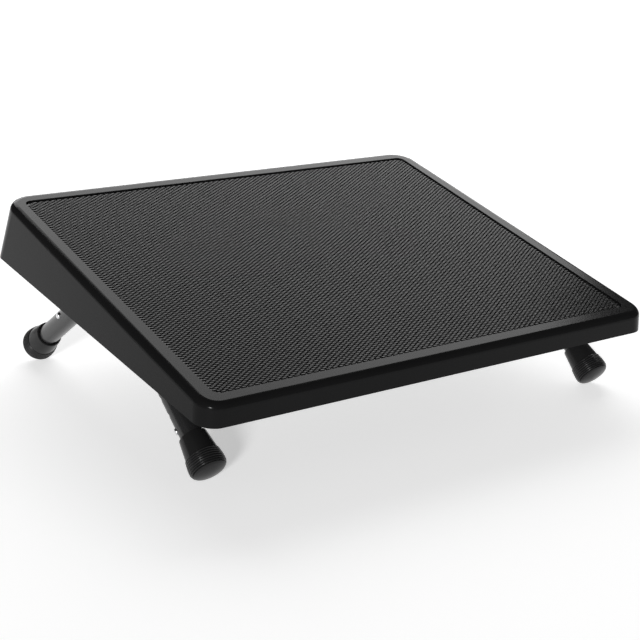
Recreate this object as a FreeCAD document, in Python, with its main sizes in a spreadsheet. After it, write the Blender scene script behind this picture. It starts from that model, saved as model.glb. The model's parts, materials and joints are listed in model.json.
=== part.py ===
import FreeCAD, Part
import os
from math import asin, cos, radians, sin, sqrt, tan

import Sketcher

# Tilting under desk footrest, in millimetres.
# A moulded wedge tray carries a textured foot mat. Two hubs under its deck hold four fixed
# inner tubes, and a lower tube with a rubber foot slides on each of them. A snap button in
# the inner tube locks the lower tube in one of its row of holes, which sets height and tilt.
# Frame: +X to the right, +Y to the back, +Z up, origin on the floor under the middle.

SIZES = [
    # Tray, measured from the plane of its lower rim
    ("rim_width", 464.0),
    ("rim_length", 373.0),
    ("front_height", 18.5),
    ("wedge_angle", 6.08),
    ("wall_draft", 3.3),
    ("wall", 3.0),
    ("deck", 3.0),
    ("rim_corner_radius", 16.5),
    ("corner_growth", 0.14),
    ("top_round", 6.5),
    # Recess for the mat, on the top plane
    ("front_border", 14.5),
    ("side_border", 17.0),
    ("recess_length", 336.0),
    ("recess_drop", 3.5),
    ("recess_corner", 7.0),
    ("mat_thickness", 2.5),
    ("mat_gap", 0.6),
    ("mat_edge_round", 0.6),
    # Ribs under the deck
    ("rib_thickness", 2.4),
    ("rib_height", 7.5),
    ("rib_bite", 1.0),
    ("cross_rib_pitch", 84.0),
    ("long_rib_pitch", 90.0),
    # Stance of the tray: the leg axes cross at the hub point, just above the top plane
    ("tilt_angle", 11.05),
    ("hub_floor_height", 120.5),
    ("hub_setback", 194.0),
    ("hub_rise", 3.5),
    ("leg_inset", 26.0),
    # Leg slopes, measured from the tray's top plane
    ("front_leg_angle", 23.8),
    ("rear_leg_angle", 47.5),
    # Hubs, with the sockets measured along the leg axes from the hub point
    ("hub_width", 34.0),
    ("hub_cheek", 2.5),
    ("hub_web", 12.0),
    ("hub_edge_round", 1.5),
    ("front_socket_start", 45.5),
    ("front_socket_end", 67.5),
    ("rear_socket_start", 23.0),
    ("rear_socket_end", 45.0),
    ("socket_clearance", 0.05),
    # Fasteners
    ("screw_spacing", 25.0),
    ("front_screw_offset", 56.5),
    ("rear_screw_offset", 15.5),
    ("screw_diameter", 3.5),
    ("screw_head_diameter", 7.0),
    ("screw_head_depth", 2.0),
    ("screw_length", 15.0),
    ("screw_clearance", 0.05),
    ("cross_pin_diameter", 4.0),
    ("cross_pin_clearance", 0.02),
    # Tubes
    ("outer_tube_diameter", 19.0),
    ("outer_tube_wall", 1.2),
    ("inner_tube_diameter", 16.0),
    ("inner_tube_wall", 1.2),
    ("tube_stop_gap", 2.0),
    ("inner_tube_reach", 14.0),
    # Snap buttons and the row of holes
    ("hole_pitch", 15.7),
    ("hole_count", 4),
    ("button_diameter", 5.8),
    ("button_clearance", 0.2),
    ("button_rise", 1.5),
    ("button_round", 1.4),
    ("front_button_to_foot", 37.0),
    ("rear_button_to_foot", 77.0),
    ("front_button_turn", 30.0),
    ("rear_button_turn", 15.0),
    ("spring_thickness", 0.7),
    ("spring_width", 6.0),
    ("spring_length", 27.0),
    ("spring_tail", 5.0),
    ("spring_gap", 0.3),
    # Rubber feet, measured along the leg from the mouth of the collar
    ("collar_diameter", 23.2),
    ("collar_round", 1.0),
    ("mouth_chamfer", 0.7),
    ("mouth_clearance", 0.15),
    ("shoulder_diameter", 27.4),
    ("shoulder_length", 18.0),
    ("band_start_diameter", 28.6),
    ("foot_diameter", 30.8),
    ("foot_length", 27.7),
    ("end_round", 5.5),
    ("end_dome_radius", 40.0),
    ("rib_ring_count", 5),
    ("ring_land_share", 0.67),
    ("ring_groove_depth", 0.5),
    ("tube_seat_depth", 22.0),
]

doc = FreeCAD.newDocument("tilting_footrest")
sheet = doc.addObject("Spreadsheet::Sheet", "Sizes")
for row, (name, value) in enumerate(SIZES, start=1):
    sheet.set(f"A{row}", name)
    sheet.set(f"B{row}", str(value))
    sheet.setAlias(f"B{row}", name)
doc.recompute()

X_AXIS = FreeCAD.Vector(1, 0, 0)
Y_AXIS = FreeCAD.Vector(0, 1, 0)
Z_AXIS = FreeCAD.Vector(0, 0, 1)
LEFT, RIGHT = -1, 1
# how far a cutting shape stands out past what it cuts
CUTTING_MARGIN = 10.0


def size(name):
    return float(sheet.get(name))


def turn_x(angle):
    return FreeCAD.Placement(FreeCAD.Vector(), FreeCAD.Rotation(X_AXIS, angle))


def turn_z(angle):
    return FreeCAD.Placement(FreeCAD.Vector(), FreeCAD.Rotation(Z_AXIS, angle))


def shift(x=0.0, y=0.0, z=0.0):
    return FreeCAD.Placement(FreeCAD.Vector(x, y, z), FreeCAD.Rotation())


# Frames

# The rim frame lies in the plane of the tray's lower rim, with its origin at the front edge.
# The top frame lies in the top plane, with its origin at the sharp front edge before rounding.
# The hub frame is the top frame moved to the hub point, where front and rear leg axes meet.
wedge_slope = tan(radians(size("wedge_angle")))
draft_slope = tan(radians(size("wall_draft")))
edge_height = size("front_height") / (1 - draft_slope * wedge_slope)
edge_setback = edge_height * draft_slope
top_in_rim = shift(0, edge_setback, edge_height) * turn_x(size("wedge_angle"))
hub_in_top = shift(0, size("hub_setback"), size("hub_rise"))
hub_in_world = shift(0, 0, size("hub_floor_height")) * turn_x(size("tilt_angle"))
top_in_world = hub_in_world * hub_in_top.inverse()
rim_in_world = top_in_world * top_in_rim.inverse()
deck_below_hub = size("recess_drop") + size("deck") + size("hub_rise")
leg_plane = size("rim_width") / 2 - size("leg_inset")


class Leg:
    """One leg: its names, its axis from the hub, and the places along that axis."""

    def __init__(self, end, side):
        self.name = end + ("_left" if side == LEFT else "_right")
        self.end = end
        self.side = side
        front = end == "front"
        deck_angle = size(end + "_leg_angle")
        lean = 90 + deck_angle
        # the front legs lean towards the front edge, the rear legs towards the back edge
        self.lean_from_top = lean if front else -lean
        self.slope = deck_angle + (1 if front else -1) * size("tilt_angle")
        self.socket_start = size(end + "_socket_start")
        self.socket_end = size(end + "_socket_end")
        self.foot_centre = self.reach_of_foot()
        self.collar = self.foot_centre - size("foot_length")
        self.button = self.foot_centre - size(end + "_button_to_foot")
        # the buttons face outwards, the front ones turned a little down and the rear ones up
        turn = size(end + "_button_turn")
        self.azimuth = 180 + turn if side == LEFT else -turn
        self.in_hub = shift(side * leg_plane) * turn_x(self.lean_from_top)
        self.placement = hub_in_world * self.in_hub

    def reach_of_foot(self):
        # the rounded end of the foot touches the floor, whatever the slope of the leg
        slope = radians(self.slope)
        flat_radius = size("foot_diameter") / 2 - size("end_round")
        drop = flat_radius * cos(slope) + size("end_round")
        return (size("hub_floor_height") - drop) / sin(slope)

    def at(self, distance):
        """Placement on the leg's axis, turned so that local +X points out of the button."""
        return self.placement * shift(z=distance) * turn_z(self.azimuth)


LEGS = [Leg(end, side) for end in ("front", "rear") for side in (LEFT, RIGHT)]


# Helpers for sketches and features


def origin_feature(body, role):
    return next(f for f in body.Origin.OriginFeatures if f.Role == role)


def new_body(label):
    body = doc.addObject("PartDesign::Body", label)
    body.Label = label
    return body


def new_sketch(body, plane, name):
    sketch = body.newObject("Sketcher::SketchObject", f"{body.Name}_{name}")
    sketch.AttachmentSupport = [(origin_feature(body, plane), "")]
    sketch.MapMode = "FlatFace"
    return sketch


def bind(sketch, constraint, name, expression):
    """Adds a named constraint and binds its value to the sheet."""
    number = sketch.addConstraint(constraint)
    sketch.renameConstraint(number, name)
    sketch.setExpression(f"Constraints.{name}", expression)


def closed_lines(sketch, points):
    """A closed outline of straight lines through the points, each fixed to the origin."""
    vectors = [FreeCAD.Vector(x, y, 0) for x, y in points]
    first = len(sketch.Geometry)
    count = len(vectors)
    for n in range(count):
        sketch.addGeometry(Part.LineSegment(vectors[n], vectors[(n + 1) % count]), False)
    for n in range(count):
        sketch.addConstraint(
            Sketcher.Constraint("Coincident", first + n, 2, first + (n + 1) % count, 1)
        )


def rounded_rectangle(sketch, width, front, back, radius):
    """Outline centred on X=0 from Y=front to Y=back. All four are expressions on the sheet."""
    def value(expression):
        return float(sketch.evalExpression(expression))

    half, y0, y1, r = value(width) / 2, value(front), value(back), value(radius)
    corners = [(half - r, y0 + r, -90), (half - r, y1 - r, 0)]
    corners += [(-half + r, y1 - r, 90), (-half + r, y0 + r, 180)]
    lines = [((-half + r, y0), (half - r, y0)), ((half, y0 + r), (half, y1 - r))]
    lines += [((half - r, y1), (-half + r, y1)), ((-half, y1 - r), (-half, y0 + r))]
    for start, end in lines:
        sketch.addGeometry(
            Part.LineSegment(FreeCAD.Vector(*start, 0), FreeCAD.Vector(*end, 0)), False
        )
    for x, y, angle in corners:
        circle = Part.Circle(FreeCAD.Vector(x, y, 0), Z_AXIS, r)
        sketch.addGeometry(Part.ArcOfCircle(circle, radians(angle), radians(angle + 90)), False)
    for n in range(4):
        sketch.addConstraint(Sketcher.Constraint("Tangent", n, 2, 4 + n, 1))
        sketch.addConstraint(Sketcher.Constraint("Tangent", 4 + n, 2, (n + 1) % 4, 1))
    for n in (0, 2):
        sketch.addConstraint(Sketcher.Constraint("Horizontal", n))
        sketch.addConstraint(Sketcher.Constraint("Vertical", n + 1))
    for n in (5, 6, 7):
        sketch.addConstraint(Sketcher.Constraint("Equal", 4, n))
    bind(sketch, Sketcher.Constraint("Radius", 4, r), "radius", radius)
    bind(sketch, Sketcher.Constraint("DistanceX", 3, 1, 1, 1, 2 * half), "width", width)
    bind(sketch, Sketcher.Constraint("DistanceX", -1, 1, 1, 1, half), "half", f"({width}) / 2")
    length = Sketcher.Constraint("DistanceY", 0, 1, 2, 1, y1 - y0)
    bind(sketch, length, "length", f"({back}) - ({front})")
    bind(sketch, Sketcher.Constraint("DistanceY", -1, 1, 2, 1, y1), "back", back)


def circle_in(sketch, name, radius, x=0.0, y="0"):
    """A circle whose radius and height above the sketch's origin come from the sheet."""
    r = float(sketch.evalExpression(radius))
    height = float(sketch.evalExpression(y))
    number = sketch.addGeometry(
        Part.Circle(FreeCAD.Vector(x, height, 0), Z_AXIS, r), False
    )
    bind(sketch, Sketcher.Constraint("Radius", number, r), name + "_radius", radius)
    if y == "0":
        sketch.addConstraint(Sketcher.Constraint("Coincident", number, 3, -1, 1))
        return
    sketch.addConstraint(Sketcher.Constraint("PointOnObject", number, 3, -2))
    bind(sketch, Sketcher.Constraint("DistanceY", -1, 1, number, 3, height), name + "_height", y)


def extrude(body, kind, sketch, name, length, symmetric=False, reverse=False):
    """A Pad or Pocket whose length is bound to the sheet."""
    feature = body.newObject(f"PartDesign::{kind}", f"{body.Name}_{name}")
    feature.Profile = sketch
    feature.SideType = "Symmetric" if symmetric else "One side"
    feature.Reversed = reverse
    feature.setExpression("Length", length)
    return feature


def face_towards(shape, direction):
    """Name of the flat face that looks along the direction and lies furthest along it."""
    best, found = None, None
    for number, face in enumerate(shape.Faces, start=1):
        if not isinstance(face.Surface, Part.Plane):
            continue
        if face.normalAt(0, 0).getAngle(direction) > radians(0.5):
            continue
        reach = face.CenterOfMass.dot(direction)
        if best is None or reach > best:
            best, found = reach, f"Face{number}"
    return found


def primitive(kind, label, placement, **sizes):
    """A Part primitive with its sizes bound to the sheet."""
    solid = doc.addObject(f"Part::{kind}", label)
    for prop, expression in sizes.items():
        solid.setExpression(prop, expression)
    solid.Placement = placement
    return solid


def combine(kind, label, parts):
    solid = doc.addObject(f"Part::{kind}", label)
    if kind == "Cut":
        solid.Base, solid.Tool = parts
    elif kind == "Compound":
        solid.Links = parts
    else:
        solid.Shapes = parts
    solid.Label = label
    return solid


def across(x, y, z):
    """Placement at a point, with local +Z turned to point along +X."""
    return FreeCAD.Placement(FreeCAD.Vector(x, y, z), FreeCAD.Rotation(Y_AXIS, 90))


# Tray


def wedge(label, inset, drop):
    """Loft that stands on the rim and is cut off parallel to the top plane.

    The front and side walls lean in by the draft. The back wall is drafted from the direction
    square to the top plane, so it leans in by the wedge angle too. The corners grow rounder
    upwards. The inset is from the outside of the rim, and the drop is below the top plane.
    """
    body = new_body(label)
    loft_height = size("front_height") + size("rim_length") * wedge_slope + CUTTING_MARGIN
    lean = f"{loft_height} * tan(Sizes.wall_draft * 1deg)"
    back_lean = f"{loft_height} * tan((Sizes.wall_draft + Sizes.wedge_angle) * 1deg)"
    outline = new_sketch(body, "XY_Plane", "outline")
    rounded_rectangle(
        outline,
        f"Sizes.rim_width - 2 * {inset}",
        inset,
        f"Sizes.rim_length - {inset}",
        f"Sizes.rim_corner_radius - {inset}",
    )
    upper = new_sketch(body, "XY_Plane", "upper_outline")
    rounded_rectangle(
        upper,
        f"Sizes.rim_width - 2 * {inset} - 2 * {lean}",
        f"{inset} + {lean}",
        f"Sizes.rim_length - {inset} - {back_lean}",
        f"Sizes.rim_corner_radius - {inset} + {loft_height} * Sizes.corner_growth",
    )
    upper.AttachmentOffset = shift(z=loft_height)
    walls = body.newObject("PartDesign::AdditiveLoft", f"{body.Name}_walls")
    walls.Profile = outline
    walls.Sections = [upper]
    walls.Ruled = True
    doc.recompute()
    low = edge_height - edge_setback * wedge_slope - drop / cos(radians(size("wedge_angle")))
    back = size("rim_length") + CUTTING_MARGIN
    above = loft_height + CUTTING_MARGIN
    profile = new_sketch(body, "YZ_Plane", "top_plane")
    closed_lines(
        profile,
        [(-CUTTING_MARGIN, low - CUTTING_MARGIN * wedge_slope), (back, low + back * wedge_slope),
         (back, above), (-CUTTING_MARGIN, above)],
    )
    trim = extrude(
        body, "Pocket", profile, "trim", f"Sizes.rim_width + 2 * {CUTTING_MARGIN}", symmetric=True
    )
    doc.recompute()
    body.Tip = trim
    return body, trim


def tray_outside():
    body, trim = wedge("tray_outside", "0", 0)
    top = FreeCAD.Vector(0, -sin(radians(size("wedge_angle"))), cos(radians(size("wedge_angle"))))
    rounding = body.newObject("PartDesign::Fillet", "tray_top_rounding")
    rounding.Base = (trim, [face_towards(trim.Shape, top)])
    rounding.setExpression("Radius", "Sizes.top_round")
    doc.recompute()
    body.Tip = rounding
    return body


def recess_block(label, margin, depth, rise):
    """Rounded block in the top frame, a margin larger than the recess all round."""
    body = new_body(label)
    outline = new_sketch(body, "XY_Plane", "outline")
    rounded_rectangle(
        outline,
        f"Sizes.rim_width - 2 * Sizes.side_border + 2 * ({margin})",
        f"Sizes.front_border - ({margin})",
        f"Sizes.front_border + Sizes.recess_length + ({margin})",
        f"Sizes.recess_corner + ({margin})",
    )
    outline.AttachmentOffset = shift(z=rise)
    block = extrude(body, "Pad", outline, "block", f"{depth} + {rise}", reverse=True)
    body.Tip = block
    return body


def deck_ribs():
    """Long and cross ribs under the deck, clear of the hubs and legs at the sides."""
    ribs = []
    top = -size("recess_drop") - size("deck") + size("rib_bite")
    base = top - size("rib_height") - size("rib_bite")
    tall = "Sizes.rib_height + Sizes.rib_bite"
    thick = size("rib_thickness")
    half = leg_plane - size("hub_width") / 2 - thick
    front, middle = size("front_border"), size("front_border") + size("recess_length") / 2
    for number in range(-1, 3):
        x = (number - 0.5) * size("long_rib_pitch")
        ribs.append(primitive(
            "Box", f"long_rib_{number + 2}", top_in_rim * shift(x - thick / 2, front, base),
            Length="Sizes.rib_thickness", Width="Sizes.recess_length", Height=tall,
        ))
    for number in (-1, 0, 1):
        y = middle + number * size("cross_rib_pitch")
        rib = primitive(
            "Box", f"cross_rib_{number + 2}", top_in_rim * shift(-half, y - thick / 2, base),
            Width="Sizes.rib_thickness", Height=tall,
        )
        inside = "Sizes.rim_width - 2 * Sizes.leg_inset - Sizes.hub_width"
        rib.setExpression("Length", f"{inside} - 2 * Sizes.rib_thickness")
        ribs.append(rib)
    return ribs


def screw_places():
    """Each hub screw as (name, placement of the top of its head in the top frame)."""
    places = []
    for side, side_name in ((LEFT, "left"), (RIGHT, "right")):
        for across_hub in (-1, 1):
            x = side * leg_plane + across_hub * size("screw_spacing") / 2
            for offset in (-size("front_screw_offset"), size("rear_screw_offset")):
                y = size("hub_setback") + offset
                spot = shift(x, y, -size("recess_drop") - size("screw_clearance"))
                places.append((f"{side_name}_{len(places) + 1}", spot))
    return places


def countersinks():
    """Tools for the screw holes through the deck, with room for each head."""
    tools = []
    for name, spot in screw_places():
        head_top = top_in_rim * spot * shift(z=size("screw_clearance"))
        below = head_top * turn_x(180)
        tools.append(primitive(
            "Cone", f"countersink_{name}", below,
            Radius1="Sizes.screw_head_diameter / 2 + 2 * Sizes.screw_clearance",
            Radius2="Sizes.screw_diameter / 2 + 2 * Sizes.screw_clearance",
            Height="Sizes.screw_head_depth + Sizes.screw_clearance",
        ))
        tools.append(primitive(
            "Cylinder", f"screw_way_{name}", below,
            Radius="Sizes.screw_diameter / 2 + 2 * Sizes.screw_clearance",
            Height=f"Sizes.deck + {CUTTING_MARGIN / 4}",
        ))
    return tools


def make_tray():
    outside = tray_outside()
    cavity, _ = wedge("tray_cavity", "Sizes.wall", size("deck"))
    shell = combine("Cut", "tray_shell", (outside, cavity))
    pan = recess_block("tray_pan", "Sizes.wall", "Sizes.recess_drop + Sizes.deck", 0)
    pan.Placement = top_in_rim
    solid = combine("MultiFuse", "tray_solid", [shell, pan] + deck_ribs())
    recess = recess_block("tray_recess", "0", "Sizes.recess_drop", CUTTING_MARGIN)
    recess.Placement = top_in_rim
    holes = combine("MultiFuse", "tray_holes", [recess] + countersinks())
    tray = combine("Cut", "tray", (solid, holes))
    tray.Placement = rim_in_world
    return tray


def make_mat():
    body = new_body("foot_mat")
    outline = new_sketch(body, "XY_Plane", "outline")
    rounded_rectangle(
        outline,
        "Sizes.rim_width - 2 * Sizes.side_border - 2 * Sizes.mat_gap",
        "Sizes.mat_gap",
        "Sizes.recess_length - Sizes.mat_gap",
        "Sizes.recess_corner - Sizes.mat_gap",
    )
    slab = extrude(body, "Pad", outline, "slab", "Sizes.mat_thickness")
    doc.recompute()
    edge = body.newObject("PartDesign::Fillet", "foot_mat_edge")
    edge.Base = (slab, [face_towards(slab.Shape, Z_AXIS)])
    edge.setExpression("Radius", "Sizes.mat_edge_round")
    body.Tip = edge
    body.Placement = top_in_world * shift(0, size("front_border"), -size("recess_drop"))
    return body


# Hubs, tubes and fasteners


def along(leg, distance, offset=0.0):
    """Point in the hub frame, as (Y, Z), at a distance along a leg and an offset above it."""
    point = leg.in_hub.multVec(FreeCAD.Vector(0, 0, distance))
    normal = leg.in_hub.Rotation.multVec(Y_AXIS) * (1 if leg.end == "front" else -1)
    return point.y + normal.y * offset, point.z + normal.z * offset


def make_hub(side):
    """Boomerang block under the deck, with a blind socket for the front and the rear tube."""
    side_name = "left" if side == LEFT else "right"
    front, rear = [leg for leg in LEGS if leg.side == side]
    half_height = size("inner_tube_diameter") / 2 + size("hub_cheek")
    front_top = along(front, size("front_socket_end"), half_height)
    rear_top = along(rear, size("rear_socket_end"), half_height)
    # between the arms the block is a web under the deck, which meets their lower flanks
    web_depth = deck_below_hub + size("hub_web")
    web_corners = []
    for leg in (front, rear):
        angle = radians(size(leg.end + "_leg_angle"))
        distance = (web_depth - half_height * cos(angle)) / sin(angle)
        web_corners.append(along(leg, distance, -half_height))
    body = new_body(f"hub_block_{side_name}")
    profile = new_sketch(body, "YZ_Plane", "profile")
    closed_lines(profile, [
        (front_top[0], -deck_below_hub),
        front_top,
        along(front, size("front_socket_end"), -half_height),
        *web_corners,
        along(rear, size("rear_socket_end"), -half_height),
        rear_top,
        (rear_top[0], -deck_below_hub),
    ])
    block = extrude(body, "Pad", profile, "block", "Sizes.hub_width", symmetric=True)
    doc.recompute()
    rounding = body.newObject("PartDesign::Fillet", f"{body.Name}_rounding")
    rounding.Base = (block, [face_towards(block.Shape, X_AXIS), face_towards(block.Shape, -X_AXIS)])
    rounding.setExpression("Radius", "Sizes.hub_edge_round")
    body.Tip = rounding
    body.Placement = shift(side * leg_plane)
    tools = []
    for leg in (front, rear):
        tools.append(primitive(
            "Cylinder", f"socket_{leg.name}", leg.in_hub * shift(z=leg.socket_start),
            Radius="Sizes.inner_tube_diameter / 2 + Sizes.socket_clearance",
            Height=f"Sizes.{leg.end}_socket_end - Sizes.{leg.end}_socket_start + {CUTTING_MARGIN}",
        ))
        tools.append(cross_hole(leg, leg.in_hub, f"socket_pin_hole_{leg.name}"))
    for name, spot in screw_places():
        if not name.startswith(side_name):
            continue
        tools.append(primitive(
            "Cylinder", f"pilot_hole_{name}", hub_in_top.inverse() * spot * turn_x(180),
            Radius="Sizes.screw_diameter / 2 + Sizes.screw_clearance",
            Height="Sizes.screw_length + 2 * Sizes.screw_clearance",
        ))
    ways = combine("MultiFuse", f"hub_ways_{side_name}", tools)
    hub = combine("Cut", f"leg_hub_{side_name}", (body, ways))
    hub.Placement = hub_in_world
    return hub


def cross_place(leg, frame, half_length):
    """Where the cross pin lies in the middle of a leg's socket, in the given frame."""
    middle = (leg.socket_start + leg.socket_end) / 2
    return frame * across(-half_length, 0, middle)


def cross_hole(leg, frame, label):
    return primitive(
        "Cylinder", label, cross_place(leg, frame, size("hub_width") / 2),
        Radius="Sizes.cross_pin_diameter / 2 + Sizes.cross_pin_clearance",
        Height="Sizes.hub_width",
    )


def make_cross_pins():
    pins = []
    for leg in LEGS:
        frame = leg.placement
        pins.append(primitive(
            "Cylinder", f"cross_pin_{leg.name}", cross_place(leg, frame, size("hub_width") / 2),
            Radius="Sizes.cross_pin_diameter / 2", Height="Sizes.hub_width",
        ))
    return combine("Compound", "cross_pins", pins)


def make_hub_screws():
    screws = []
    for name, spot in screw_places():
        down = top_in_world * spot * turn_x(180)
        head = primitive(
            "Cone", f"screw_head_{name}", down,
            Radius1="Sizes.screw_head_diameter / 2", Radius2="Sizes.screw_diameter / 2",
            Height="Sizes.screw_head_depth",
        )
        shank = primitive(
            "Cylinder", f"screw_shank_{name}", down,
            Radius="Sizes.screw_diameter / 2", Height="Sizes.screw_length",
        )
        screws.append(combine("MultiFuse", f"screw_{name}", [head, shank]))
    return combine("Compound", "hub_screws", screws)


def tube(label, diameter, wall, length):
    body = new_body(label)
    section = new_sketch(body, "XY_Plane", "section")
    circle_in(section, "outside", f"{diameter} / 2")
    circle_in(section, "bore", f"{diameter} / 2 - {wall}")
    extrude(body, "Pad", section, "wall", length)
    return body


def side_hole(body, diameter, height, length):
    """A round hole through the +X wall of a tube, and nothing on the other side."""
    drilling = new_sketch(body, "YZ_Plane", "drilling")
    circle_in(drilling, "hole", f"({diameter}) / 2", y=height)
    hole = extrude(body, "Pocket", drilling, "hole", length, reverse=True)
    doc.recompute()
    return hole


def make_inner_tube(leg):
    """Fixed tube from the hub's socket to just past the snap button."""
    start = leg.socket_start
    body = tube(
        f"inner_tube_body_{leg.name}", "Sizes.inner_tube_diameter", "Sizes.inner_tube_wall",
        f"{leg.button - start} + Sizes.inner_tube_reach",
    )
    hole = side_hole(
        body, "Sizes.button_diameter + 2 * Sizes.button_clearance",
        f"{leg.button - start}", "Sizes.inner_tube_diameter / 2",
    )
    body.Tip = hole
    body.Placement = leg.placement.inverse() * leg.at(start)
    pin_hole = cross_hole(leg, FreeCAD.Placement(), f"tube_pin_hole_{leg.name}")
    inner_tube = combine("Cut", f"inner_tube_{leg.name}", (body, pin_hole))
    inner_tube.Placement = leg.placement
    return inner_tube


def make_lower_tube(leg):
    """Sliding tube with the row of holes, from the hub's face down into the rubber foot."""
    start = leg.socket_end + size("tube_stop_gap")
    end = leg.collar + size("tube_seat_depth")
    travel = (size("hole_count") - 1) * size("hole_pitch")
    body = tube(
        f"lower_tube_{leg.name}", "Sizes.outer_tube_diameter", "Sizes.outer_tube_wall",
        f"{end - start}",
    )
    hole = side_hole(
        body, "Sizes.button_diameter + 2 * Sizes.button_clearance",
        f"{leg.button - start - travel}", "Sizes.outer_tube_diameter / 2",
    )
    row_of_holes = body.newObject("PartDesign::LinearPattern", f"{body.Name}_row_of_holes")
    row_of_holes.Originals = [hole]
    row_of_holes.Direction = (origin_feature(body, "Z_Axis"), [""])
    row_of_holes.Mode = "Spacing"
    row_of_holes.setExpression("Offset", "Sizes.hole_pitch")
    row_of_holes.setExpression("Occurrences", "Sizes.hole_count")
    body.Tip = row_of_holes
    body.Placement = leg.at(start)
    return body


# Feet and snap buttons


def foot_profile():
    """Half section of the rubber foot: (radius, distance from the collar's mouth) points.

    The ring ribs are a row of shallow V grooves on the widening band.
    """
    seat = size("outer_tube_diameter") / 2
    mouth = seat + size("mouth_clearance")
    collar, rim = size("collar_diameter") / 2, size("collar_round")
    shoulder = size("shoulder_diameter") / 2
    band, widest = size("band_start_diameter") / 2, size("foot_diameter") / 2
    start, end = size("shoulder_length"), size("foot_length")
    count = int(size("rib_ring_count"))
    pitch = (end - start) / count
    relief = start / 2
    points = [(0, size("tube_seat_depth")), (seat, size("tube_seat_depth"))]
    points += [(seat, relief), (mouth, relief - size("mouth_chamfer"))]
    points += [(mouth, size("mouth_chamfer"))]
    points += [(mouth + size("mouth_chamfer"), 0), (collar - rim, 0)]
    collar_arc = len(points) - 1
    points += [(collar, rim), (shoulder, start)]
    for ring in range(count):
        # each rib is flat on top, and the V groove after it takes the rest of the pitch
        land = size("ring_land_share")
        for share, depth in ((0, 0), (land, 0), ((1 + land) / 2, size("ring_groove_depth"))):
            swell = sin(radians(90) * (ring + share) / count)
            radius = band + (widest - band) * swell
            points.append((radius - depth, start + (ring + share) * pitch))
    points.append((widest, end))
    return points, collar_arc


def make_foot(leg):
    """Rubber foot: collar round the tube, ribbed band, rounded edge and a gently domed end."""
    points, collar_arc = foot_profile()
    edge, dome = size("end_round"), size("end_dome_radius")
    widest, end = size("foot_diameter") / 2, size("foot_length")
    edge_centre = FreeCAD.Vector(widest - edge, end, 0)
    dome_height = sqrt((dome - edge) ** 2 - (widest - edge) ** 2)
    dome_centre = FreeCAD.Vector(0, end - dome_height, 0)
    turn = asin((widest - edge) / (dome - edge))
    body = new_body(f"rubber_foot_{leg.name}")
    profile = new_sketch(body, "XZ_Plane", "profile")
    vectors = [FreeCAD.Vector(x, y, 0) for x, y in points]
    for n in range(len(vectors) - 1):
        if n == collar_arc:
            radius = size("collar_round")
            circle = Part.Circle(vectors[n] + FreeCAD.Vector(0, radius, 0), Z_AXIS, radius)
            profile.addGeometry(Part.ArcOfCircle(circle, radians(-90), 0), False)
        else:
            profile.addGeometry(Part.LineSegment(vectors[n], vectors[n + 1]), False)
    edge_arc = Part.Circle(edge_centre, Z_AXIS, edge)
    profile.addGeometry(Part.ArcOfCircle(edge_arc, 0, radians(90) - turn), False)
    dome_arc = Part.Circle(dome_centre, Z_AXIS, dome)
    profile.addGeometry(Part.ArcOfCircle(dome_arc, radians(90) - turn, radians(90)), False)
    tip = FreeCAD.Vector(0, dome_centre.y + dome, 0)
    profile.addGeometry(Part.LineSegment(tip, vectors[0]), False)
    turned = body.newObject("PartDesign::Revolution", f"{body.Name}_turned")
    turned.Profile = profile
    turned.ReferenceAxis = (profile, ["V_Axis"])
    turned.Angle = 360
    body.Tip = turned
    body.Placement = leg.at(leg.collar)
    return body


def make_snap_button(leg):
    """Domed button on its V spring, one piece that bends when the button is pressed."""
    tip = size("outer_tube_diameter") / 2 + size("button_rise")
    bore = size("inner_tube_diameter") / 2 - size("inner_tube_wall")
    half_width = size("spring_width") / 2
    # the flat strip lies as near the round bore as its two long edges allow
    strip = sqrt((bore - size("spring_gap")) ** 2 - half_width**2)
    thick = size("spring_thickness")
    radius, nose = size("button_diameter") / 2, size("button_round")
    body = new_body(f"snap_button_{leg.name}")
    side = new_sketch(body, "XZ_Plane", "spring_side")
    top, tail = -size("spring_length"), size("spring_tail")
    closed_lines(side, [
        (strip, tail), (strip - thick, tail), (strip - thick, top + 3 * thick),
        (-strip + thick, tail / 2), (-strip, tail / 2), (strip - 2 * thick, top),
        (strip - thick, top), (strip, top + thick),
    ])
    spring = extrude(body, "Pad", side, "spring", "Sizes.spring_width", symmetric=True)
    head = new_sketch(body, "XY_Plane", "button_half")
    corner = FreeCAD.Vector(tip - nose, radius - nose, 0)
    base = strip - thick / 2
    flat_end = FreeCAD.Vector(tip, radius - nose, 0)
    outline = [(base, 0), (base, radius), (tip - nose, radius)]
    line_points = [FreeCAD.Vector(x, y, 0) for x, y in outline]
    for n in range(len(line_points) - 1):
        head.addGeometry(Part.LineSegment(line_points[n], line_points[n + 1]), False)
    nose_arc = Part.Circle(corner, Z_AXIS, nose)
    head.addGeometry(Part.ArcOfCircle(nose_arc, 0, radians(90)), False)
    axis_end = FreeCAD.Vector(tip, 0, 0)
    head.addGeometry(Part.LineSegment(flat_end, axis_end), False)
    head.addGeometry(Part.LineSegment(axis_end, line_points[0]), False)
    button = body.newObject("PartDesign::Revolution", f"{body.Name}_button")
    button.Profile = head
    button.ReferenceAxis = (head, ["H_Axis"])
    button.Angle = 360
    body.Tip = button
    body.Placement = leg.at(leg.button)
    return body


def make_all():
    nodes = [make_tray(), make_mat(), make_hub(LEFT), make_hub(RIGHT)]
    for leg in LEGS:
        nodes += [make_inner_tube(leg), make_lower_tube(leg), make_foot(leg), make_snap_button(leg)]
    nodes += [make_cross_pins(), make_hub_screws()]
    return nodes


def centre_on_floor(nodes):
    """Moves every node so that the origin is on the floor under the middle of the object."""
    box = FreeCAD.BoundBox()
    for node in nodes:
        box.add(node.Shape.optimalBoundingBox(False, False))
    middle_y = (box.YMin + box.YMax) / 2
    for node in nodes:
        node.Placement = shift(0, -middle_y, 0) * node.Placement
    doc.recompute()
    return middle_y


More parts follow.
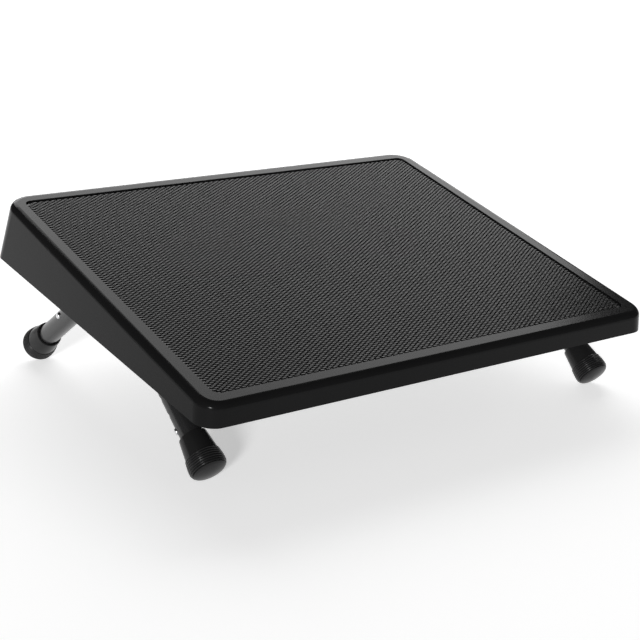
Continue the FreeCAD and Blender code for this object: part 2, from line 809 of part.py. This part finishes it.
def check(nodes):
    for item in doc.Objects:
        bad = [word for word in item.State if word in ("Invalid", "Error")]
        if bad:
            raise RuntimeError(f"{item.Label} is {bad}")
    for node in nodes:
        if node.Shape.isNull() or not node.Shape.isValid():
            raise RuntimeError(f"{node.Label} has no valid shape")


doc.recompute()
nodes = make_all()
doc.recompute()
middle = centre_on_floor(nodes)
check(nodes)

os.makedirs("parts", exist_ok=True)
for node in nodes:
    node.Shape.exportStep(f"parts/{node.Label}.step")
    print(f"{node.Label}: {len(node.Shape.Solids)} solid, {node.Shape.Volume:.0f} mm3")

print(f"hub point at Y {-middle:.3f}, Z {size('hub_floor_height'):.3f}")
for leg in LEGS:
    axis = leg.placement.Rotation.multVec(Z_AXIS)
    out = leg.at(0).Rotation.multVec(X_AXIS)
    print(f"{leg.name}: axis ({axis.x:.6f}, {axis.y:.6f}, {axis.z:.6f})")
    print(f"  button faces ({out.x:.6f}, {out.y:.6f}, {out.z:.6f})")
    print(f"  button at {leg.button:.2f}, foot centre at {leg.foot_centre:.2f} from the hub point")
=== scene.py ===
# %% [markdown]
# A footrest for under a desk is a moulded wedge tray on four short telescopic legs. The
# construction comes from a fixed frame: every tube, foot and button is already there at its
# real size. This lesson gives that frame its finishes, and models again the pieces whose look
# depends on fine relief: the diamond mat and the ribbed rubber feet.

# %% Load the frame
import json
from math import asin, atan2, cos, degrees, pi, radians, sin, sqrt

import bmesh
import bpy
from mathutils import Matrix, Vector


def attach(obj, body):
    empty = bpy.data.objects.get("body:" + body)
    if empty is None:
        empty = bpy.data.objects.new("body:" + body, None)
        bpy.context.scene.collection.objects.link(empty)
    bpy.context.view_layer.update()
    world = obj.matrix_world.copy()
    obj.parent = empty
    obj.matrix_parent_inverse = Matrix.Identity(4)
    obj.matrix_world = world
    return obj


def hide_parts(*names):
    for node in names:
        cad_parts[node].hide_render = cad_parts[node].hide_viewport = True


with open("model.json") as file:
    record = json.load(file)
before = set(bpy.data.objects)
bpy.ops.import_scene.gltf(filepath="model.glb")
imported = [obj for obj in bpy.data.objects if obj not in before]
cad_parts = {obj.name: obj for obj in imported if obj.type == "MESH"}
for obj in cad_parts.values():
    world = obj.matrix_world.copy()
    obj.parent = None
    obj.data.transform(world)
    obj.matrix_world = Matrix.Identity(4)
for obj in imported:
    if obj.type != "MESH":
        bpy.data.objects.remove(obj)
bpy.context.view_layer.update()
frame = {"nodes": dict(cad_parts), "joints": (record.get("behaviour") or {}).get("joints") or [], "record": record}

MM = 0.001
nodes = frame["nodes"]

# %% [markdown]
# The tray is tilted, so anything that lies on it is easiest to model flat and then turned.
# The record gives a point in the middle of the foot surface and the direction that it faces.
# The tilt is the angle of that direction from straight up, and the mat's own vertices, read
# in that turned frame, give its width, length and thickness.

# %% Find the frame of the mat
surface = next(m for m in frame["record"]["mounts"] if m["name"] == "foot_surface")
facing = Vector(surface["axis"])
TILT = atan2(-facing.y, facing.z)
mat_frame = Matrix.Translation(surface["pos_m"]) @ Matrix.Rotation(TILT, 4, "X")


def extent(node, place):
    """Lowest and highest corner of a CAD node, read in the frame given by the matrix."""
    back = place.inverted()
    points = [back @ v.co for v in nodes[node].data.vertices]
    low = Vector([min(p[axis] for p in points) for axis in range(3)])
    high = Vector([max(p[axis] for p in points) for axis in range(3)])
    return low, high


mat_low, mat_high = extent("foot_mat", mat_frame)
print("tray tilt in degrees:", round(degrees(TILT), 2))
print("mat size in mm:", [round(v / MM, 1) for v in mat_high - mat_low])

# %% [markdown]
# Each leg has a frame of its own too. Its joints say how it moves: the lower tube slides along
# the leg, and the snap button is pressed in across it. Those two directions are the Z and X of
# the leg's frame. Its origin is put on the tube's centre line, at the collar of the rubber
# foot, so the foot can be turned on a lathe there as a maker of moulds would do it.

# %% Find the frame of each leg
joint_axis = {j["name"]: Vector(j["axis"]).normalized() for j in frame["joints"]}
LEG_NAMES = ("front_left", "front_right", "rear_left", "rear_right")


def leg_frame(leg):
    along = joint_axis[f"{leg}_leg_slide"]
    outward = -joint_axis[f"{leg}_button_press"]
    outward = (outward - along * outward.dot(along)).normalized()
    turn = Matrix((outward, along.cross(outward), along)).transposed().to_4x4()
    low, high = extent(f"lower_tube_{leg}", turn)
    collar = extent(f"rubber_foot_{leg}", turn)[0].z
    centre = Vector(((low.x + high.x) / 2, (low.y + high.y) / 2, collar))
    return turn @ Matrix.Translation(centre)


leg_frames = {leg: leg_frame(leg) for leg in LEG_NAMES}
foot_low, foot_high = extent("rubber_foot_front_left", leg_frames["front_left"])
print("foot length in mm:", round((foot_high.z - foot_low.z) / MM, 1))

# %% [markdown]
# Two small helpers are used by every piece below. The first turns a bmesh into an object that
# rides on a body of the frame, stands for a node, which it hides, and takes a material. The second
# gives a finish to pieces that keep their CAD shape.

# %% Helpers for pieces


def add_piece(name, shape, place, body, node, material):
    """Makes an object from a bmesh modelled in its own frame, and puts its place in the mesh."""
    bmesh.ops.transform(shape, matrix=place, verts=shape.verts)
    mesh = bpy.data.meshes.new(name)
    shape.to_mesh(mesh)
    shape.free()
    piece = bpy.data.objects.new(name, mesh)
    bpy.context.scene.collection.objects.link(piece)
    mesh.materials.append(material)
    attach(piece, body)
    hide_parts(node)
    return piece


def finish_node(name, material):
    """Gives a CAD node a finish through its object's material slots."""
    node = nodes[name]
    if not node.material_slots:
        node.data.materials.append(material)
    for material_slot in node.material_slots:
        material_slot.material = material


# %% [markdown]
# Moulded plastic, rubber and paint are never perfectly even. Steel moulds are etched, which
# leaves a fine grain, and the gloss drifts a little from place to place. One node group holds
# both effects: a fine height for the Bump node and a slow drift for colour and roughness. It
# reads Object coordinates, so the grain stays fixed to the piece.

# %% Node group for grain and drift


def moulded_surface_group():
    group = bpy.data.node_groups.new("moulded_surface", "ShaderNodeTree")
    socket = group.interface.new_socket
    for name, value in (("Grain Scale", 1500.0), ("Drift Scale", 9.0)):
        socket(name, in_out="INPUT", socket_type="NodeSocketFloat").default_value = value
    for name in ("Grain Height", "Drift"):
        socket(name, in_out="OUTPUT", socket_type="NodeSocketFloat")
    make, link = group.nodes.new, group.links.new
    entry, leave = make("NodeGroupInput"), make("NodeGroupOutput")
    place = make("ShaderNodeTexCoord")
    grain, drift = make("ShaderNodeTexNoise"), make("ShaderNodeTexNoise")
    grain.inputs["Detail"].default_value = 1.0
    drift.inputs["Detail"].default_value = 3.0
    for noise, scale, result in ((grain, "Grain Scale", "Grain Height"),
                                 (drift, "Drift Scale", "Drift")):
        link(place.outputs["Object"], noise.inputs["Vector"])
        link(entry.outputs[scale], noise.inputs["Scale"])
        link(noise.outputs["Fac"], leave.inputs[result])
    return group


moulded_surface = moulded_surface_group()
print("node group:", moulded_surface.name, [n.bl_idname for n in moulded_surface.nodes])

# %% [markdown]
# All the finishes here are the same recipe with other values: two close tones of one colour, a
# roughness that drifts between two limits, and a grain that is at most a few hundredths of a
# millimetre high. A function builds that recipe. What is even all over the surface, such as
# the specular level or metal, is set straight on the shader.

# %% A function for drifting finishes
DRIFT_LOW = 0.3
DRIFT_HIGH = 0.7
BLUE_TINT = 1.02


def drifting_finish(name, tones, roughness, grain_scale, grain_depth, specular=0.5, metallic=0.0):
    """A Principled material whose colour and roughness drift between two values."""
    material = bpy.data.materials.new(name)
    material.use_nodes = True
    tree = material.node_tree
    shader = tree.nodes["Principled BSDF"]
    surface_group = tree.nodes.new("ShaderNodeGroup")
    surface_group.node_tree = moulded_surface
    surface_group.inputs["Grain Scale"].default_value = grain_scale
    colour = tree.nodes.new("ShaderNodeMix")
    colour.data_type = "RGBA"
    colour.inputs["A"].default_value = (*tones[0], 1.0)
    colour.inputs["B"].default_value = (*tones[1], 1.0)
    gloss = tree.nodes.new("ShaderNodeMapRange")
    gloss.inputs["From Min"].default_value = DRIFT_LOW
    gloss.inputs["From Max"].default_value = DRIFT_HIGH
    gloss.inputs["To Min"].default_value = roughness[0]
    gloss.inputs["To Max"].default_value = roughness[1]
    bump = tree.nodes.new("ShaderNodeBump")
    bump.inputs["Distance"].default_value = grain_depth
    link = tree.links.new
    link(surface_group.outputs["Drift"], colour.inputs["Factor"])
    link(surface_group.outputs["Drift"], gloss.inputs["Value"])
    link(surface_group.outputs["Grain Height"], bump.inputs["Height"])
    link(colour.outputs["Result"], shader.inputs["Base Color"])
    link(gloss.outputs["Result"], shader.inputs["Roughness"])
    link(bump.outputs["Normal"], shader.inputs["Normal"])
    shader.inputs["Specular IOR Level"].default_value = specular
    shader.inputs["Metallic"].default_value = metallic
    return material


def grey(level):
    """A grey that is a touch blue, as black plastic and dark plating are."""
    return (level, level, level * BLUE_TINT)


tray_plastic = drifting_finish(
    "tray_plastic", (grey(0.006), grey(0.008)), (0.15, 0.19), 2200.0, 0.00001, specular=0.065)
hub_plastic = drifting_finish(
    "hub_plastic", (grey(0.010), grey(0.014)), (0.42, 0.50), 1600.0, 0.00003, specular=0.35)
mat_rubber = drifting_finish(
    "mat_rubber", (grey(0.006), grey(0.009)), (0.22, 0.28), 2600.0, 0.000002, specular=0.25)
foot_rubber = drifting_finish(
    "foot_rubber", (grey(0.009), grey(0.013)), (0.22, 0.28), 2000.0, 0.00001, specular=0.2)
tube_paint = drifting_finish(
    "tube_paint", (grey(0.012), grey(0.016)), (0.22, 0.28), 900.0, 0.00001, specular=0.5)
inner_steel = drifting_finish(
    "inner_steel", (grey(0.003), grey(0.005)), (0.50, 0.60), 1200.0, 0.00001, specular=0.0)
button_nickel = drifting_finish(
    "button_nickel", (grey(0.70), grey(0.78)), (0.16, 0.24), 1500.0, 0.000005, metallic=1.0)
fastener_zinc = drifting_finish(
    "fastener_zinc", (grey(0.50), grey(0.60)), (0.26, 0.36), 1500.0, 0.00001, metallic=1.0)
print("finishes:", sorted(m.name for m in bpy.data.materials if m.use_nodes))

# %% Give the CAD nodes their finishes
finish_node("tray", tray_plastic)
finish_node("cross_pins", fastener_zinc)
finish_node("hub_screws", fastener_zinc)
for side in ("left", "right"):
    finish_node(f"leg_hub_{side}", hub_plastic)
for leg in LEG_NAMES:
    finish_node(f"inner_tube_{leg}", inner_steel)
    finish_node(f"lower_tube_{leg}", tube_paint)
    finish_node(f"snap_button_{leg}", button_nickel)

# %% [markdown]
# The foot mat is a rubber sheet whose top is moulded in small raised diamonds, long across the
# tray and short up the slope, set side by side without a gap. There are about thirteen
# thousand of them, so each may have only a few faces. A grid is sheared until its squares are
# diamonds of the real size, and cut to the outline of the mat. Every whole diamond is inset
# and raised at once, and its top is drawn in row by row to a long narrow crest, which is what
# catches the light. The rim of the sheet is then extruded down and closed, so the mat is one
# solid.

# %% Model the diamond mat
DIAMOND_LENGTH = 5.95 * MM
DIAMOND_WIDTH = 3.66 * MM
DIAMOND_HEIGHT = 0.75 * MM
CREST_INSET = 0.25 * MM
CREST_NARROWING = 0.30
MAT_CORNER_RADIUS = 6.4 * MM
MAT_EDGE_STEP = 0.4 * MM
CORNER_CUTS = 4
WHOLE_SHARE = 0.97
WELD_DISTANCE = 0.001 * MM
mat_size = mat_high - mat_low
half_width = mat_size.x / 2 - MAT_EDGE_STEP
half_length = mat_size.y / 2 - MAT_EDGE_STEP
valley_level = -DIAMOND_HEIGHT


def diamond_sheet():
    """Flat sheet of diamonds: the grid's two directions become the diamonds' two sides."""
    sheet = bmesh.new()
    count = 2 * int(half_width / DIAMOND_LENGTH + half_length / DIAMOND_WIDTH + 2)
    bmesh.ops.create_grid(sheet, x_segments=count, y_segments=count, size=count / 2)
    shear = Matrix((
        (DIAMOND_LENGTH / 2, DIAMOND_LENGTH / 2, 0, 0),
        (-DIAMOND_WIDTH / 2, DIAMOND_WIDTH / 2, 0, 0),
        (0, 0, 1, 0),
        (0, 0, 0, 1),
    ))
    bmesh.ops.transform(sheet, matrix=shear, verts=sheet.verts)
    return sheet


def cut_outline(sheet):
    """Cuts away all that is outside the mat's outline, a flat cut for each side and corner."""
    arc = MAT_CORNER_RADIUS - MAT_EDGE_STEP
    for quarter in range(4):
        side_x = 1 if quarter in (0, 3) else -1
        side_y = 1 if quarter in (0, 1) else -1
        centre = Vector((side_x * (half_width - arc), side_y * (half_length - arc), 0))
        for step in range(CORNER_CUTS + 1):
            angle = radians(90) * step / CORNER_CUTS
            out = Vector((side_x * cos(angle), side_y * sin(angle), 0))
            everything = sheet.verts[:] + sheet.edges[:] + sheet.faces[:]
            bmesh.ops.bisect_plane(
                sheet, geom=everything, dist=WELD_DISTANCE, plane_co=centre + out * arc,
                plane_no=out, clear_outer=True)


mat = diamond_sheet()
cut_outline(mat)
full_area = DIAMOND_LENGTH * DIAMOND_WIDTH / 2
whole = [f for f in mat.faces if f.calc_area() > WHOLE_SHARE * full_area]
print("whole diamonds on the mat:", len(whole))

# %% Raise the diamonds and close the sheet
bmesh.ops.inset_individual(
    mat, faces=whole, thickness=CREST_INSET, depth=DIAMOND_HEIGHT, use_even_offset=True)
rows = {}
for face in whole:
    rows.setdefault(round(face.calc_center_median().y / (DIAMOND_WIDTH / 2)), []).append(face)
for row, faces in rows.items():
    crest = list({vert for face in faces for vert in face.verts})
    from_row = Matrix.Translation((0, -row * DIAMOND_WIDTH / 2, 0))
    bmesh.ops.scale(mat, vec=(1, CREST_NARROWING, 1), space=from_row, verts=crest)
bmesh.ops.translate(mat, vec=(0, 0, valley_level), verts=mat.verts)


def extrude_rim(shape, grow, drop):
    """Extrudes the open rim down, and outwards by the same amount on every side."""
    rim = [e for e in shape.edges if e.is_boundary]
    made = bmesh.ops.extrude_edge_only(shape, edges=rim)["geom"]
    moved = [v for v in made if isinstance(v, bmesh.types.BMVert)]
    widen = Vector((1 + grow / half_width, 1 + grow / half_length, 1))
    bmesh.ops.scale(shape, vec=widen, verts=moved)
    bmesh.ops.translate(shape, vec=(0, 0, drop), verts=moved)


extrude_rim(mat, MAT_EDGE_STEP, -MAT_EDGE_STEP)
extrude_rim(mat, 0.0, -(mat_size.z - DIAMOND_HEIGHT - MAT_EDGE_STEP))
underside = [e for e in mat.edges if e.is_boundary]
bmesh.ops.contextual_create(mat, geom=underside)
bmesh.ops.recalc_face_normals(mat, faces=mat.faces)
textured_mat = add_piece(
    "textured_mat", mat, mat_frame, "tray_body", "foot_mat", mat_rubber)
print("mat faces:", len(textured_mat.data.polygons))

# %% [markdown]
# Each leg ends in a rubber foot, pushed over the tube. It is a solid of revolution: a slim
# collar that widens to a band of ring ribs, a round edge and a slightly domed end. So its
# half section is drawn once and spun round the leg. The ribs are real waves in the section,
# because they catch the light, and they run on over the round edge of the foot.

# %% Draw the half section of a foot
TUBE_RADIUS = 9.5 * MM
COLLAR_RADIUS = 11.6 * MM
SHOULDER_RADIUS = 13.7 * MM
SHOULDER_AT = 18.0 * MM
BAND_RADIUS = 14.3 * MM
WIDEST_RADIUS = 15.4 * MM
WIDEST_AT = 27.7 * MM
END_ROUND = 5.5 * MM
DOME_RADIUS = 40.0 * MM
TUBE_DEPTH = 22.0 * MM
MOUTH_CLEARANCE = 0.15 * MM
MOUTH_CHAMFER = 0.7 * MM
MOUTH_DEPTH = 8.0 * MM
GRIP_AT = 9.0 * MM
LIP_ROUND = 1.0 * MM
SHOULDER_STEP = 0.1 * MM
RING_COUNT = 7
RING_PITCH = 2.05 * MM
GROOVE_DEPTH = 0.7 * MM
RING_SHAPE = ((0.0, 0.5), (0.14, 0.05), (0.32, 0.0), (0.5, 0.05), (0.62, 0.5), (0.8, 1.0))
ROUND_STEPS = 4
DOME_STEPS = 6
FOOT_STEPS = 96
SHARP_ANGLE = 50.0


def band_point(way, sunk):
    """Point that lies the given way along the ringed band, and sunk below its surface.

    The band is nearly straight up to the widest place, then it follows the round of the end.
    """
    straight = WIDEST_AT - SHOULDER_AT
    if way < straight:
        swell = (WIDEST_RADIUS - BAND_RADIUS) * sin(radians(90) * way / straight)
        return BAND_RADIUS + swell - sunk, SHOULDER_AT + way
    angle = (way - straight) / END_ROUND
    reach = WIDEST_RADIUS - END_ROUND
    return (reach + (END_ROUND - sunk) * cos(angle), WIDEST_AT + (END_ROUND - sunk) * sin(angle))


def foot_section():
    """Points (radius, distance from the collar's mouth) of the foot, from inside to the tip."""
    mouth = TUBE_RADIUS + MOUTH_CLEARANCE
    points = [(0, TUBE_DEPTH), (TUBE_RADIUS, TUBE_DEPTH), (TUBE_RADIUS, GRIP_AT)]
    points += [(mouth, MOUTH_DEPTH), (mouth, MOUTH_CHAMFER), (TUBE_RADIUS + MOUTH_CHAMFER, 0)]
    points += [(COLLAR_RADIUS - 0.9 * LIP_ROUND, 0)]
    points += [(COLLAR_RADIUS - 0.2 * LIP_ROUND, 0.25 * LIP_ROUND), (COLLAR_RADIUS, LIP_ROUND)]
    points += [(SHOULDER_RADIUS, SHOULDER_AT - SHOULDER_STEP)]
    for ring in range(RING_COUNT):
        for share, sunk in RING_SHAPE:
            points.append(band_point((ring + share) * RING_PITCH, sunk * GROOVE_DEPTH))
    reach = WIDEST_RADIUS - END_ROUND
    dome_turn = asin(reach / (DOME_RADIUS - END_ROUND))
    plain_from = (RING_COUNT * RING_PITCH - (WIDEST_AT - SHOULDER_AT)) / END_ROUND
    for step in range(ROUND_STEPS + 1):
        angle = plain_from + (radians(90) - dome_turn - plain_from) * step / ROUND_STEPS
        points.append((reach + END_ROUND * cos(angle), WIDEST_AT + END_ROUND * sin(angle)))
    dome_centre = WIDEST_AT - sqrt((DOME_RADIUS - END_ROUND) ** 2 - reach ** 2)
    for step in range(1, DOME_STEPS + 1):
        angle = dome_turn * (1 - step / DOME_STEPS)
        points.append((DOME_RADIUS * sin(angle), dome_centre + DOME_RADIUS * cos(angle)))
    return points


section = foot_section()
print("foot section points:", len(section), "length in mm:", round(section[-1][1] / MM, 2))

# %% Spin the four feet


def spin_section(points, steps):
    """Turns a half section in the XZ plane round Z into a closed solid."""
    shape = bmesh.new()
    corners = [shape.verts.new((radius, 0, height)) for radius, height in points]
    edges = [shape.edges.new(pair) for pair in zip(corners, corners[1:])]
    bmesh.ops.spin(
        shape, geom=corners + edges, cent=(0, 0, 0), axis=(0, 0, 1), angle=radians(360),
        steps=steps, use_merge=True)
    bmesh.ops.remove_doubles(shape, verts=shape.verts, dist=WELD_DISTANCE)
    bmesh.ops.recalc_face_normals(shape, faces=shape.faces)
    return shape


def shade_smooth(piece, angle):
    """Smooth shading that keeps an edge sharper than the angle crisp."""
    piece.data.shade_smooth()
    piece.data.set_sharp_from_angle(angle=angle)


for leg in LEG_NAMES:
    foot = add_piece(
        f"ribbed_foot_{leg}", spin_section(section, FOOT_STEPS), leg_frames[leg],
        f"leg_{leg}", f"rubber_foot_{leg}", foot_rubber)
    shade_smooth(foot, radians(SHARP_ANGLE))
print("foot faces:", len(foot.data.polygons))

# %% [markdown]
# The object is shown on a plain pale floor. The floor is large enough that the main camera
# never sees its end, so it also serves as the backdrop. It glows a little, like the top of a
# light table, so the shadow under the tray stays light.

# %% Lay the floor
FLOOR_HALF = 12.0
FLOOR_GLOW = 0.5
FLOOR_WHITE = 0.86
FLOOR_ROUGHNESS = 0.75
FLOOR_SPECULAR = 0.2


def pale_floor():
    sheet = bmesh.new()
    bmesh.ops.create_grid(sheet, x_segments=1, y_segments=1, size=FLOOR_HALF)
    mesh = bpy.data.meshes.new("floor")
    sheet.to_mesh(mesh)
    sheet.free()
    floor = bpy.data.objects.new("floor", mesh)
    bpy.context.scene.collection.objects.link(floor)
    material = bpy.data.materials.new("pale_floor")
    material.use_nodes = True
    shader = material.node_tree.nodes["Principled BSDF"]
    shader.inputs["Base Color"].default_value = (FLOOR_WHITE, FLOOR_WHITE, FLOOR_WHITE, 1)
    shader.inputs["Roughness"].default_value = FLOOR_ROUGHNESS
    shader.inputs["Specular IOR Level"].default_value = FLOOR_SPECULAR
    shader.inputs["Emission Color"].default_value = (1, 1, 1, 1)
    shader.inputs["Emission Strength"].default_value = FLOOR_GLOW
    mesh.materials.append(material)
    return floor


pale_floor()

# %% [markdown]
# Black plastic shows little but reflections, so the lights are chosen for what they look like
# in it. A low soft source in front of the left corner lights the legs under the tray and puts
# a small bright point on the round corner. A wide screen behind the tray is what the tilted
# deck mirrors towards the camera: it makes the border grey, while the front edge, which
# mirrors the dim front of the studio, stays nearly black. The far end of the studio is pale
# to look at, but sends little light.

# %% Set the lights
SUN_FROM = Vector((-0.69, -0.67, 0.28))
SUN_STRENGTH = 2.6
SUN_ANGLE = 9.0
WORLD_LEVEL = 0.10
BACKDROP_LEVEL = 0.9


def add_sun():
    light = bpy.data.lights.new("low_soft", "SUN")
    light.energy = SUN_STRENGTH
    light.angle = radians(SUN_ANGLE)
    lamp = bpy.data.objects.new("low_soft", light)
    lamp.rotation_euler = SUN_FROM.to_track_quat("Z", "Y").to_euler()
    bpy.context.scene.collection.objects.link(lamp)


def add_screen(name, azimuth, elevation, distance, width, height, radiance):
    """An area light that faces the object, placed by its direction from the middle of it.

    The azimuth is measured from +Y towards +X, and the radiance is that of its surface.
    """
    light = bpy.data.lights.new(name, "AREA")
    light.shape = "RECTANGLE"
    light.size, light.size_y = width, height
    light.energy = radiance * pi * width * height
    lamp = bpy.data.objects.new(name, light)
    turn, rise = radians(azimuth), radians(elevation)
    out = Vector((sin(turn) * cos(rise), cos(turn) * cos(rise), sin(rise)))
    lamp.location = out * distance
    lamp.rotation_euler = out.to_track_quat("Z", "Y").to_euler()
    bpy.context.scene.collection.objects.link(lamp)


add_sun()
add_screen("back_screen", azimuth=28, elevation=32, distance=3.0, width=3.0, height=2.0,
           radiance=3.6)


def add_studio():
    """A world that lights the object dimly, and looks pale where the floor ends."""
    world = bpy.data.worlds.new("dim_studio")
    world.use_nodes = True
    tree = world.node_tree
    dim = tree.nodes["Background"]
    dim.inputs["Color"].default_value = (1, 1, 1, 1)
    dim.inputs["Strength"].default_value = WORLD_LEVEL
    pale = tree.nodes.new("ShaderNodeBackground")
    pale.inputs["Color"].default_value = (1, 1, 1, 1)
    pale.inputs["Strength"].default_value = BACKDROP_LEVEL
    rays, mix = tree.nodes.new("ShaderNodeLightPath"), tree.nodes.new("ShaderNodeMixShader")
    tree.links.new(rays.outputs["Is Camera Ray"], mix.inputs["Fac"])
    tree.links.new(dim.outputs["Background"], mix.inputs[1])
    tree.links.new(pale.outputs["Background"], mix.inputs[2])
    tree.links.new(mix.outputs["Shader"], tree.nodes["World Output"].inputs["Surface"])
    bpy.context.scene.world = world


add_studio()
bpy.context.scene.view_settings.view_transform = "Standard"

# %% [markdown]
# The camera stands in front of the left corner, a little above the tray, and looks down at
# it. Its place and turn were worked out from the straight edges and corners of the tray, so
# they are written as a heading, a downward look and a slight roll, as a photographer would
# read them off a tripod.

# %% Place the camera
CAMERA_FROM_MAT = Vector((-0.7209, -0.9717, 0.3672))
HEADING = 36.04
LOOK_DOWN = 19.50
ROLL = 2.96
LENS = 79.45
SENSOR = 36.0
SHIFT_X = 0.0173
SHIFT_Y = -0.0021


def add_camera():
    lens = bpy.data.cameras.new("camera")
    lens.lens = LENS
    lens.sensor_width = SENSOR
    lens.shift_x = SHIFT_X
    lens.shift_y = SHIFT_Y
    camera = bpy.data.objects.new("camera", lens)
    turn = Matrix.Rotation(radians(-HEADING), 4, "Z")
    tip = Matrix.Rotation(radians(90 - LOOK_DOWN), 4, "X")
    roll = Matrix.Rotation(radians(ROLL), 4, "Z")
    place = Vector(surface["pos_m"]) + CAMERA_FROM_MAT
    camera.matrix_world = Matrix.Translation(place) @ turn @ tip @ roll
    bpy.context.scene.collection.objects.link(camera)
    bpy.context.scene.camera = camera


add_camera()
